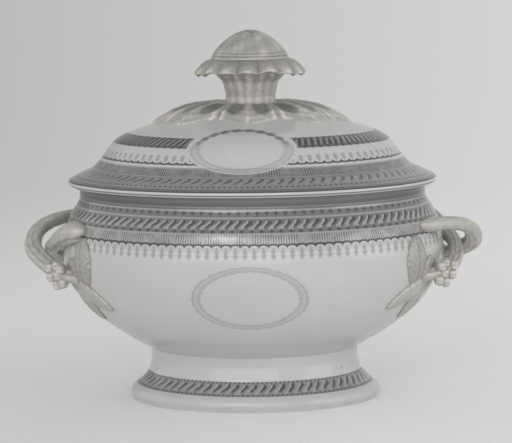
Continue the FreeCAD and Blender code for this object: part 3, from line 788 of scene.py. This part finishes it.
def gilding(name, high, low):
    """Worn gilding: the crests are rubbed pale, the hollows hold grime, and broad patches differ.
    On the handle straps the relief also carries a painted highlight along their edges.
    """
    material, tree, shader = start_material(name)
    relief = tree.nodes.new("ShaderNodeAttribute")
    relief.attribute_name = RELIEF
    height = Field(tree, relief.outputs["Fac"])
    patch = clouds(tree, 45.0, 4.0)
    grain = clouds(tree, 330.0, 3.0)
    raised = (height + (patch - 0.5) * 0.45 + (grain - 0.5) * 0.45).most(0.0).least(1.0)
    tone = raised * (grey(high) - grey(low)) + grey(low)
    rubbed = 1 - raised.below(0.82, 0.12)
    tone = tone.towards(grey(high + 22), rubbed * 0.6)
    feed_inputs(tree, shader, {"Base Color": colour_from(tree, tone, TINT_GILT),
                               "Roughness": grain * 0.24 + 0.27, "Metallic": 0.25 - rubbed * 0.2,
                               "Normal": bumped(tree, grain * 0.5 + patch, 0.0004)})
    return material


# Body, foot and cover
def bowl_profile():
    """Under the bowl, up its outside, over the mouth's rounded lip and down its inside to the floor."""
    outer = smooth_run(BOWL_OUTLINE, FLARE, UP, 110)
    inner_points = inset(BOWL_OUTLINE, BOWL_WALL)[1:]
    inner_half = NECK_HALF - BOWL_WALL
    inner_points[-1, 0] = inner_half
    floor = BOWL_OUTLINE[0][1] + BOWL_FLOOR
    floor_edge = (BOWL_OUTLINE[0][0] * FLOOR_SHARE, floor)
    inner = smooth_run(np.vstack([[floor_edge], inner_points]), OUT, UP, 80)[::-1]
    under = straight((0.0, BOWL_OUTLINE[0][1]), BOWL_OUTLINE[0], 8)
    lip_start = MOUTH_HEIGHT - LIP_ROUND
    wall = straight(outer[-1], (NECK_HALF, lip_start), 5)[1:]
    outer_lip = arc((NECK_HALF - LIP_ROUND, lip_start), LIP_ROUND, 0, 90, 5)
    inner_lip = arc((inner_half + LIP_ROUND, lip_start), LIP_ROUND, 90, 180, 5)
    floor_run = straight(floor_edge, (0.0, floor), 8)[1:]
    profile = np.vstack([under, outer, wall, outer_lip, inner_lip, inner, floor_run, [(0.0, floor)]])
    return profile, len(under), np.vstack([outer, wall, [(NECK_HALF, MOUTH_HEIGHT)]])


def cover_profile():
    """Under the crown and down to the seat, round the drip lip and the rim, and up the outside to the pad."""
    outer = smooth_run(COVER_OUTLINE, COVE_START, IN, 120)
    inner_points = inset(COVER_OUTLINE, COVER_WALL)[3:]
    inner = smooth_run(np.vstack([[(FLANGE_INNER_HALF, MOUTH_HEIGHT)], inner_points]), UP, IN, 70)[::-1]
    drip = NECK_HALF + DRIP_CLEARANCE
    centre = (COVER_OUTLINE[0][0], MOUTH_HEIGHT)
    rim = arc(centre, RIM_ROUND, -90, 90, 14)[:-1]
    under = straight((0.0, inner[0, 1]), inner[0], 6)
    seat = straight(inner[-1], (drip, MOUTH_HEIGHT), 4)[1:]
    lip = straight((drip, MOUTH_HEIGHT), (drip, MOUTH_HEIGHT - RIM_ROUND), 3)
    under_rim = straight((drip, MOUTH_HEIGHT - RIM_ROUND), rim[0], 2)
    pad = straight(outer[-1], (0.0, PAD_HEIGHT), 6)[1:]
    before = np.vstack([under, inner, seat, lip, under_rim, rim])
    return np.vstack([before, outer, pad, [(0.0, PAD_HEIGHT)]]), len(before), outer


def foot_profile():
    """Up the foot's outside, across the luting ring and down its inside, closed."""
    outer = smooth_run(FOOT_OUTLINE, UP, UP, 60)
    inner = outer[::-1] - (FOOT_WALL, 0.0)
    across = straight(outer[-1], inner[0], 4)[1:]
    under = straight(inner[-1], outer[0], 4)[1:]
    return np.vstack([outer, across, inner, under, outer[:1]]), 0, outer


def oval_piece(name, shape, paint, body, replaced):
    """A painted oval: its way up is counted from where its painted outline starts."""
    profile, start, outline = shape
    ways = way_along(profile)
    ways = ways - ways[start]
    shares = share_round(ROUND_STEPS, PLAN)
    grid = carried_round(profile[:, :1], PLAN, oval_angles(ROUND_STEPS)[None, :], profile[:, 1:])
    shapes = [(grid, np.full(grid.shape[:2], 0.5))]
    new_piece(name, shapes, body, paint(outline), replaced, shares, ways, 40.0)


# Knob
def petal_wave(turn, count, sharp):
    """1 on each petal's middle and 0 between two petals."""
    return np.abs(np.cos(count * turn / 2)) ** sharp


def fluted_grid(rings, rows, depth, rise, sharp):
    """Rings (half, height, swing) made smooth, then drawn in by depth and down by rise between the petals."""
    rings = np.array(rings)
    smooth = smooth_run(rings[:, :2], np.zeros(2), np.zeros(2), rows)
    swing = np.interp(np.linspace(0, 1, rows), shares_along(rings[:, :2]), rings[:, 2])[:, None]
    turn = oval_angles(PETALS * PETAL_STEPS)[None, :]
    wave = petal_wave(turn, PETALS, sharp)
    drawn = smooth[:, :1] - depth * swing * (1 - wave)
    height = smooth[:, 1:] - rise * swing * (1 - wave)
    relief = unit(0.25 + 0.6 * wave * np.clip(swing, 0.25, 1)) + 0 * height
    return carried_round(drawn, KNOB_PLAN, turn, height), relief


def closed_with_poles(grid, relief, both=True):
    """The grid with a point in the middle of its first ring, and of its last one too."""
    low, high = [0 * ring + ring.mean(axis=1, keepdims=True) for ring in (grid[:1], grid[-1:])]
    if not both:
        return np.concatenate([low, grid]), np.vstack([relief[:1], relief])
    return np.concatenate([low, grid, high]), np.vstack([relief[:1], relief, relief[-1:]])


def make_knob(gilt):
    """Fluted stem, ruffled collar of curled petals and closed bud."""
    grid, relief = fluted_grid(STEM_RINGS, rows=40, depth=0.9, rise=0.0, sharp=1.1)
    gilded_piece("stem_fluted", [closed_with_poles(grid, relief * 0.5 + 0.42)], "cover", gilt, "knob_stem")
    grid, relief = fluted_grid(COLLAR_RINGS[::-1], rows=64, depth=1.6, rise=1.7, sharp=0.8)
    outwards = unit(np.sqrt(grid[:, :, :1] ** 2 + (grid[:, :, 1:2] / KNOB_PLAN) ** 2) / COLLAR_HALF)
    low = unit((RUFFLE_TOP - grid[:, :, 2:]) / RUFFLE_DROP) * outwards**2
    turn = oval_angles(PETALS * PETAL_STEPS)[None, :, None]
    lift = COLLAR_LIFT * np.sin(turn) ** 2 + 0.55 * np.sin(turn * 5 + 0.8) + 0.4 * np.cos(turn * 11)
    grid[:, :, 2:] += low * np.clip(lift, 0.0, 4.0)
    gilded_piece("collar_ruffled", [closed_with_poles(grid, relief)], "cover", gilt, "knob_collar")
    gilded_piece("bud_closed", [closed_with_poles(*bud_grid(), both=False)], "cover", gilt, "knob_bud")


def bud_grid():
    """The bud: edge lines sunk in, faint furrows, and a mottle of sin and cos across each other."""
    profile = smooth_run(BUD_RINGS, UP, IN, BUD_ROWS)
    turn = oval_angles(PETALS * PETAL_STEPS)[None, :]
    up = np.linspace(0, 1, BUD_ROWS)[:, None]
    edge = bud_edges(turn, up)
    fade = unit(up * 30) * unit((1 - up) * 9)
    furrows = np.cos(turn * 22 + 2.0 * np.sin(turn * 3))
    mottle = np.sin(turn * 4 + 7 * up + 1.5 * np.sin(turn * 2)) * np.cos(turn * 7 - 9 * up)
    reach = profile[:, :1] - (0.55 * edge + 0.03 * furrows + 0.08 * mottle) * fade
    relief = unit(0.62 - (0.5 * edge - 0.03 * furrows + 0.16 * mottle) * fade)
    return carried_round(reach, KNOB_PLAN, turn, profile[:, 1:]), relief


def bud_edges(turn, up):
    """Dark lines on the bud: two round its foot, and a broken crest near its top."""
    foot = bell(up - 0.06, 0.014) + 0.8 * bell(up - 0.135, 0.014) + 0 * turn
    crest_line = 0.83 + 0.05 * np.cos(3 * turn + 0.6) + 0.02 * np.cos(11 * turn)
    crest = bell(up - crest_line, 0.05) * unit(0.55 + 0.6 * np.cos(turn - 4.2))
    return unit(foot + crest)


# Rosette
def height_on(outline, grid):
    """The height of the cover's outside over each point."""
    return np.interp(oval_reach(grid), outline[::-1, 0], outline[::-1, 1])


def make_rosette(cover_outline, gilt):
    """Eight overlapping leaves: the edge draws in between them, with a groove along each and fine veins."""
    rings = np.array(ROSETTE_RINGS)
    smooth = smooth_run(rings[:, :2], OUT, (0.0, -1.0), ROSETTE_ROWS)
    half = smooth[:, :1]
    lobes = np.interp(np.linspace(0, 1, ROSETTE_ROWS), shares_along(rings[:, :2]), rings[:, 2])[:, None]
    turn = oval_angles(ROSETTE_LEAVES * ROSETTE_LEAF_STEPS)[None, :]
    reach = half - ROSETTE_DRAW * lobes * (1 - petal_wave(turn, ROSETTE_LEAVES, 0.85))
    place = (turn * ROSETTE_LEAVES / (2 * math.pi)) % 1.0 - 0.5
    spread = unit((half - 24.0) / 50.0)
    leaf_side = np.abs(np.abs(place) - 0.5)
    middle = bell(leaf_side, 0.03)
    veins = np.sin(2 * math.pi * (spread * 6 + leaf_side * 2.4))
    gap = bell(place, 0.035)
    crest = bell(np.abs(place) - 0.075, 0.03)
    lobe = ((leaf_side - 0.25) / 0.18) ** 2 + ((half - 47.5) / 15.0) ** 2
    hollow = 1 / (1 + np.exp(np.clip((lobe - 1.0) * 7, -30, 30)))
    rise = (0.16 * veins + 0.35 * middle - 0.8 * gap + 0.35 * crest) * spread - 0.7 * hollow
    top = carried_round(reach, ROSETTE_PLAN, turn, smooth[:, 1:] + rise)
    eye = carried_round(ROSETTE_EYE_HALF, KNOB_PLAN, turn, ROSETTE_EYE_HEIGHT)
    back = np.linspace(1.0, 0.0, 12)[:, None]
    halves = back * (reach[-1:] - 1.0 - ROSETTE_EYE_HALF) + ROSETTE_EYE_HALF
    under = carried_round(halves, back * (ROSETTE_PLAN - KNOB_PLAN) + KNOB_PLAN, turn, 0.0 * halves)
    under[:, :, 2] = height_on(cover_outline, under) - ROSETTE_SUNK
    grid = np.concatenate([eye, top, under, eye])
    seat = height_on(cover_outline, grid[1:-1]) - ROSETTE_SUNK
    grid[1:-1, :, 2] = np.maximum(grid[1:-1, :, 2], seat)
    relief = np.full(grid.shape[:2], 0.4)
    drawn = (0.07 * veins + 0.16 * middle - 0.4 * gap + 0.2 * crest) * spread
    relief[1:1 + ROSETTE_ROWS] = unit(0.66 + drawn - 0.62 * hollow + 0.05 * unit((half - 56.0) / 14.0))
    gilded_piece("rosette_leaves", [(grid, relief)], "cover", gilt, "leaf_rosette")


# Handles
def strand_place(shares):
    """Shares (outwards, along, upwards) of the handle's reach, spread and rise, as points."""
    shares = np.array(shares, float)
    return np.stack([-BELLY_HALF - HANDLE_REACH * shares[:, 0], ROOT_SPREAD * shares[:, 1],
                     HANDLE_LOW + HANDLE_RISE * shares[:, 2]], axis=1)


def turned_about(vectors, axes, angles):
    """Each vector turned about its unit axis by its angle."""
    c, s = np.cos(angles)[:, None], np.sin(angles)[:, None]
    along = (vectors * axes).sum(axis=1)[:, None]
    return vectors * c + np.cross(axes, vectors) * s + axes * along * (1 - c)


def oval_reach(points):
    """Half the length of the level oval, in the bowl's plan, that passes through each point."""
    return np.sqrt(points[..., 0] ** 2 + (points[..., 1] / PLAN) ** 2)


def half_at(points, outline):
    """Half the bowl's length at each point's height."""
    return np.interp(points[..., 2], outline[:, 1], outline[:, 0])


def scaled_level(points, scale):
    """Points moved level, each away from the bowl's axis by its scale."""
    return points * np.stack([scale, scale, np.ones_like(scale)], axis=-1)


def kept_in_wall(points, outline, sunk):
    """Points that would come inside the bowl are moved out to a surface inside its wall."""
    half = half_at(points, outline) - sunk
    return scaled_level(points, np.maximum(1.0, half / np.maximum(oval_reach(points), TOUCHING)))


def on_bowl(points, outline):
    """Points moved level onto the bowl's outside."""
    return scaled_level(points, half_at(points, outline) / oval_reach(points))


def bowl_normals(points, outline):
    """Unit normals of the bowl's outside at points on it."""
    slope = np.interp(points[..., 2], outline[:, 1], np.gradient(outline[:, 0], outline[:, 1]))
    down = -half_at(points, outline) * slope
    normals = np.stack([points[..., 0], points[..., 1] / PLAN**2, down], axis=-1)
    return normals / np.linalg.norm(normals, axis=-1)[..., None]


def strand_grid(table, width, thick, outline):
    """A strap along its route: an oval section with a rib down the middle and one along each edge."""
    table = np.array(table, float)
    route = strand_place(table[:, :3])
    ends = [step / np.linalg.norm(step) for step in (route[1] - route[0], route[-1] - route[-2])]
    smooth = smooth_run(route, *ends, STRAND_ROWS)
    at = np.linspace(0, 1, STRAND_ROWS)
    places = shares_along(route)
    sizes = np.interp(at, places, table[:, 3])[:, None, None]
    turns = np.radians(np.interp(at, places, table[:, 4]))
    ahead = np.gradient(smooth, axis=0)
    ahead /= np.linalg.norm(ahead, axis=1)[:, None]
    broad = np.cross(ahead, (0.0, 0.0, 1.0))
    broad /= np.linalg.norm(broad, axis=1)[:, None]
    broad = turned_about(broad, ahead, turns)
    flat = np.cross(ahead, broad)
    angle = (2 * math.pi * np.arange(STRAND_COLUMNS) / STRAND_COLUMNS)[None, :]
    across, upright = np.cos(angle), np.sin(angle)
    broad_side = np.sign(upright) * np.abs(upright) ** 0.75
    ribs = np.cos(across * 3 * math.pi) * np.abs(upright) ** 0.5
    edge = bell(np.abs(across) - 0.9, 0.1)
    notches = np.cos(at[:, None] * STRAND_NOTCHES + 2.2 * np.abs(across) * math.pi) * np.abs(upright)
    lift = 1 + 0.06 * ribs + 0.025 * notches
    root = unit(at / 0.10)
    sizes = sizes * (root * root * (3 - 2 * root) * 0.8 + 0.2)[:, None, None]
    section = (broad[:, None, :] * (across * width / 2)[..., None]
               + flat[:, None, :] * (broad_side * thick / 2)[..., None] * lift[:, :, None])
    # The strap is painted lighter along both edges: a painted highlight. The ribs and notches are crests
    # rubbed pale.
    relief = unit(0.56 + 0.12 * ribs + 0.12 * notches + 0.12 * edge)
    grid, relief = closed_with_poles(smooth[:, None, :] + section * sizes, relief)
    return kept_in_wall(grid, outline, STRAND_SUNK), relief


def leaf_grid(height, turn, lean, length, width, veins, paleness, outline):
    """A leaf on the bowl. Along s and across t it is r cos f and r sin f, drawn to points at both ends. It
    swells by sqrt(1 - r^2), with a groove down its middle and slanting veins."""
    angle = math.radians(turn)
    half = float(np.interp(height, outline[:, 1], outline[:, 0]))
    place = np.array([-half * math.cos(angle), -half * PLAN * math.sin(angle), height])
    normal = bowl_normals(place[None], outline)[0]
    down = np.array([0.0, 0.0, -1.0])
    down = down - normal * down.dot(normal)
    down /= np.linalg.norm(down)
    down = turned_about(down[None], normal[None], np.array([math.radians(lean)]))[0]
    across = np.cross(normal, down)
    r = np.concatenate([np.linspace(0, 1, LEAF_ROWS), np.linspace(1, 0, LEAF_BACK_ROWS)[1:]])[:, None]
    f = (2 * math.pi * np.arange(LEAF_COLUMNS) / LEAF_COLUMNS)[None, :]
    s = r * np.cos(f)
    t = r * np.sin(f) * np.abs(np.sin(f)) ** 0.4 * (1 + 0.05 * np.cos(f * 18) * r**4)
    groove = bell(t, 0.07)
    slant = np.sin(2 * math.pi * (s * veins + np.abs(t) * veins * 0.55))
    swell = np.sqrt(unit(1 - r**2))
    rise = LEAF_EDGE + (LEAF_RELIEF - LEAF_EDGE) * swell * (1 - 0.3 * groove) + 0.16 * slant * swell
    rise = np.where(np.arange(len(r))[:, None] < LEAF_ROWS, rise, -LEAF_SUNK)
    flat = place + down * (s * length / 2)[..., None] + across * (t * width / 2)[..., None]
    seated = on_bowl(flat, outline)
    border = bell(r - 0.86, 0.07) * np.cos(f * 26)
    relief = unit(paleness + 0.09 * slant * swell - 0.28 * groove + 0.2 * border)
    return seated + bowl_normals(seated, outline) * rise[..., None], relief


def berry_grid(centre):
    """A small blossom: a ball drawn into five lobes, with a dimple at its outer pole."""
    f = np.linspace(0, math.pi, 21)[:, None]
    t = (2 * math.pi * np.arange(40) / 40)[None, :]
    lobes = np.abs(np.cos(2.5 * t)) ** 0.6
    radius = BERRY_RADIUS * (1 - 0.24 * bell(math.pi - f, 0.5) - 0.13 * (1 - lobes) * np.sin(f))
    ways = [np.cos(f) + 0 * t, np.sin(f) * np.cos(t), np.sin(f) * np.sin(t)]
    relief = unit(0.5 + 0.3 * lobes - 0.6 * bell(math.pi - f, 0.4))
    return centre + radius[..., None] * np.stack(ways, axis=2), relief


def flipped(grid, *axes):
    """The grid mirrored along each of the axes."""
    mirrored = grid.copy()
    for axis in axes:
        mirrored[..., axis] *= -1
    return mirrored


def make_handles(outline, gilt):
    """The left handle, and the right one as the same turned half round."""
    front_sprig = [leaf_grid(*leaf, outline) for leaf in SPRIG]
    front_berries = [berry_grid(centre) for centre in strand_place(np.array(BERRIES))]
    left = {"outer_strand": [strand_grid(OUTER_STRAND, OUTER_WIDTH, OUTER_THICK, outline)],
            "inner_strand": [strand_grid(INNER_STRAND, INNER_WIDTH, INNER_THICK, outline)],
            "front_sprig": front_sprig,
            "rear_sprig": [(flipped(grid, 1), relief) for grid, relief in front_sprig],
            "front_berries": front_berries,
            "rear_berries": [(flipped(grid, 1), relief) for grid, relief in front_berries]}
    other = {"front": "rear", "rear": "front"}
    for part, grids in left.items():
        words = part.split("_")
        opposite = f"{other.get(words[0], words[0])}_{words[1]}"
        turned = [(flipped(grid, 0, 1), relief) for grid, relief in grids]
        for node, shapes in ((f"left_{part}", grids), (f"right_{opposite}", turned)):
            gilded_piece(f"{node}_gilded", shapes, "tureen", gilt, node)


# Studio
CAMERA_TURN = math.radians(3.0)
CAMERA_RISE = math.radians(7.3)
CAMERA_ROLL = math.radians(0.9)
CAMERA_DISTANCE = 1.745
LOOK_RIGHT = 0.0026
LOOK_HEIGHT = 0.1354
LENS = 159.1
SENSOR = 36.0
VIEW_END = 60.0
# Lamps: (name, place, target, width, height, power)
LAMPS = (("window", (-0.95, -3.9, 1.75), (0.0, 0.0, 0.12), 1.2, 0.7, 8.0),
         ("front", (-0.6, -4.0, 0.95), (0.0, 0.0, 0.08), 4.4, 1.9, 32.0),
         ("fill", (3.4, -1.8, 0.8), (0.0, 0.0, 0.12), 2.4, 1.8, 15.0))
SKY_TOP, SKY_EDGE = 0.30, 1.36
# The paper reads as its level on a screen, and is painted lighter to the right by its slope: painted light,
# as more light falls from the right.
PAPER_LEVEL = 203
PAPER_LIGHT_SLOPE = 0.66
PAPER_SHARE = 1.555
# Near the object the painted light to the right is gentler.
NEAR_LIGHT_SLOPE = 0.35
FLOOR_FRONT, FLOOR_BACK, SWEEP_BEND, SWEEP_TOP, SWEEP_HALF, SWEEP_COLUMNS = -6.0, 3.0, 2.0, 8.0, 7.0, 15


def make_sweep():
    """The floor, which curves up behind into a backdrop: a quarter circle between two flats."""
    level = np.stack([np.linspace(FLOOR_FRONT, FLOOR_BACK, 10), np.zeros(10)], axis=1)
    bend = arc((FLOOR_BACK, SWEEP_BEND), SWEEP_BEND, -90, 0, 16)[1:]
    wall_up = np.linspace(SWEEP_BEND + 0.5, SWEEP_TOP, 5)
    wall = np.stack([np.full(5, FLOOR_BACK + SWEEP_BEND), wall_up], axis=1)
    path = np.vstack([level, bend, wall])
    x, y = np.meshgrid(np.linspace(-SWEEP_HALF, SWEEP_HALF, SWEEP_COLUMNS), path[:, 0])
    points = np.stack([x, y, path[:, 1:] + 0 * x], axis=2)
    ids = np.arange(x.size).reshape(x.shape)
    faces = np.stack([ids[:-1, :-1], ids[:-1, 1:], ids[1:, 1:], ids[1:, :-1]], axis=2).reshape(-1, 4)
    mesh = bpy.data.meshes.new("paper_sweep")
    mesh.from_pydata(points.reshape(-1, 3).tolist(), [], faces.tolist())
    mesh.polygons.foreach_set("use_smooth", np.ones(len(mesh.polygons), bool))
    mesh.materials.append(paper())
    new_object("paper_sweep", mesh)


def paper():
    """Pale paper, painted lighter to the right as light from that side. Far from the object it glows at its
    own tone for the camera and in reflections, whatever light reaches it.
    """
    material, tree, shader = start_material("studio paper")
    x, y, _ = object_place(tree)
    # Painted light: the paper's tone rises to the right, both where it glows and where it is lit.
    sideways = (x / (y + CAMERA_DISTANCE).most(0.5)).least(0.3).most(-0.3)
    tone = sideways * PAPER_LIGHT_SLOPE + grey(PAPER_LEVEL)
    near = ((sideways * NEAR_LIGHT_SLOPE + grey(PAPER_LEVEL)) * PAPER_SHARE).least(0.96)
    feed_inputs(tree, shader, {"Base Color": colour_from(tree, near, NO_TINT), "Roughness": 0.9,
                               "Specular IOR Level": 0.1})
    glow = tree.nodes.new("ShaderNodeEmission")
    feed_inputs(tree, glow, {"Color": colour_from(tree, tone, NO_TINT)})
    seen = Field(tree, source(tree, "ShaderNodeLightPath", "Is Camera Ray"))
    mirrored = Field(tree, source(tree, "ShaderNodeLightPath", "Is Glossy Ray"))
    far = 1 - y.below(0.9, 0.7)
    mix = tree.nodes.new("ShaderNodeMixShader")
    feed_inputs(tree, mix, {"Fac": seen.most(mirrored) * far})
    tree.links.new(shader.outputs["BSDF"], mix.inputs[1])
    tree.links.new(glow.outputs["Emission"], mix.inputs[2])
    tree.links.new(mix.outputs["Shader"], tree.nodes["Material Output"].inputs["Surface"])
    return material


def make_lamps():
    """A window in front, a little to the left, a broad light and a fill from the right, all aimed."""
    for name, place, target, wide, high, power in LAMPS:
        lamp = bpy.data.lights.new(name, "AREA")
        lamp.shape = "RECTANGLE"
        lamp.size, lamp.size_y, lamp.energy = wide, high, power
        item = new_object(name, lamp)
        item.location = place
        way = np.array(target) - np.array(place)
        way = way / np.linalg.norm(way)
        item.rotation_euler = (math.acos(-way[2]), 0.0, math.atan2(way[1], way[0]) - math.pi / 2)


def make_sky():
    """A sky paler towards its edge. The camera sees it as the paper's level."""
    world = bpy.data.worlds.new("even sky")
    bpy.context.scene.world = world
    world.use_nodes = True
    tree = world.node_tree
    height = split(tree, source(tree, "ShaderNodeTexCoord", "Generated"))[2].most(0.0)
    seen = Field(tree, source(tree, "ShaderNodeLightPath", "Is Camera Ray"))
    sky = (height * (SKY_TOP - SKY_EDGE) + SKY_EDGE).towards(grey(PAPER_LEVEL), seen)
    feed_inputs(tree, tree.nodes["Background"], {"Color": colour_from(tree, sky, NO_TINT)})


def make_camera():
    """The photograph's long lens, a little above the cover's rim and a little to the right of the middle."""
    camera = new_object("camera", bpy.data.cameras.new("camera"))
    camera.data.lens = LENS
    camera.data.sensor_width = SENSOR
    camera.data.clip_end = VIEW_END
    level = CAMERA_DISTANCE * math.cos(CAMERA_RISE)
    camera.location = (level * math.sin(CAMERA_TURN) + LOOK_RIGHT, -level * math.cos(CAMERA_TURN),
                       LOOK_HEIGHT + CAMERA_DISTANCE * math.sin(CAMERA_RISE))
    camera.rotation_mode = "XYZ"
    camera.rotation_euler = (math.pi / 2 - CAMERA_RISE, 0.0, CAMERA_TURN)
    roll = Matrix.Rotation(-CAMERA_ROLL, 3, "Z")
    camera.rotation_euler = (camera.rotation_euler.to_matrix() @ roll).to_euler()
    bpy.context.scene.camera = camera


def main():
    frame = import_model()
    bowl, cover, foot = bowl_profile(), cover_profile(), foot_profile()
    oval_piece("bowl_painted", bowl, bowl_paint, "tureen", "bowl")
    oval_piece("cover_painted", cover, cover_paint, "cover", "cover_shell")
    oval_piece("foot_painted", foot, foot_paint, "tureen", "foot")
    flange = frame["nodes"]["locating_flange"]
    flange.data.materials.clear()
    flange.data.materials.append(plain_paint())
    make_knob(gilding("worn gilding", 188, 116))
    make_rosette(cover[2], gilding("worn leaf gilding", 196, 120))
    make_handles(bowl[2], gilding("worn handle gilding", 196, 142))
    make_sweep()
    make_lamps()
    make_sky()
    make_camera()
    bpy.context.scene.view_settings.view_transform = "Standard"


main()
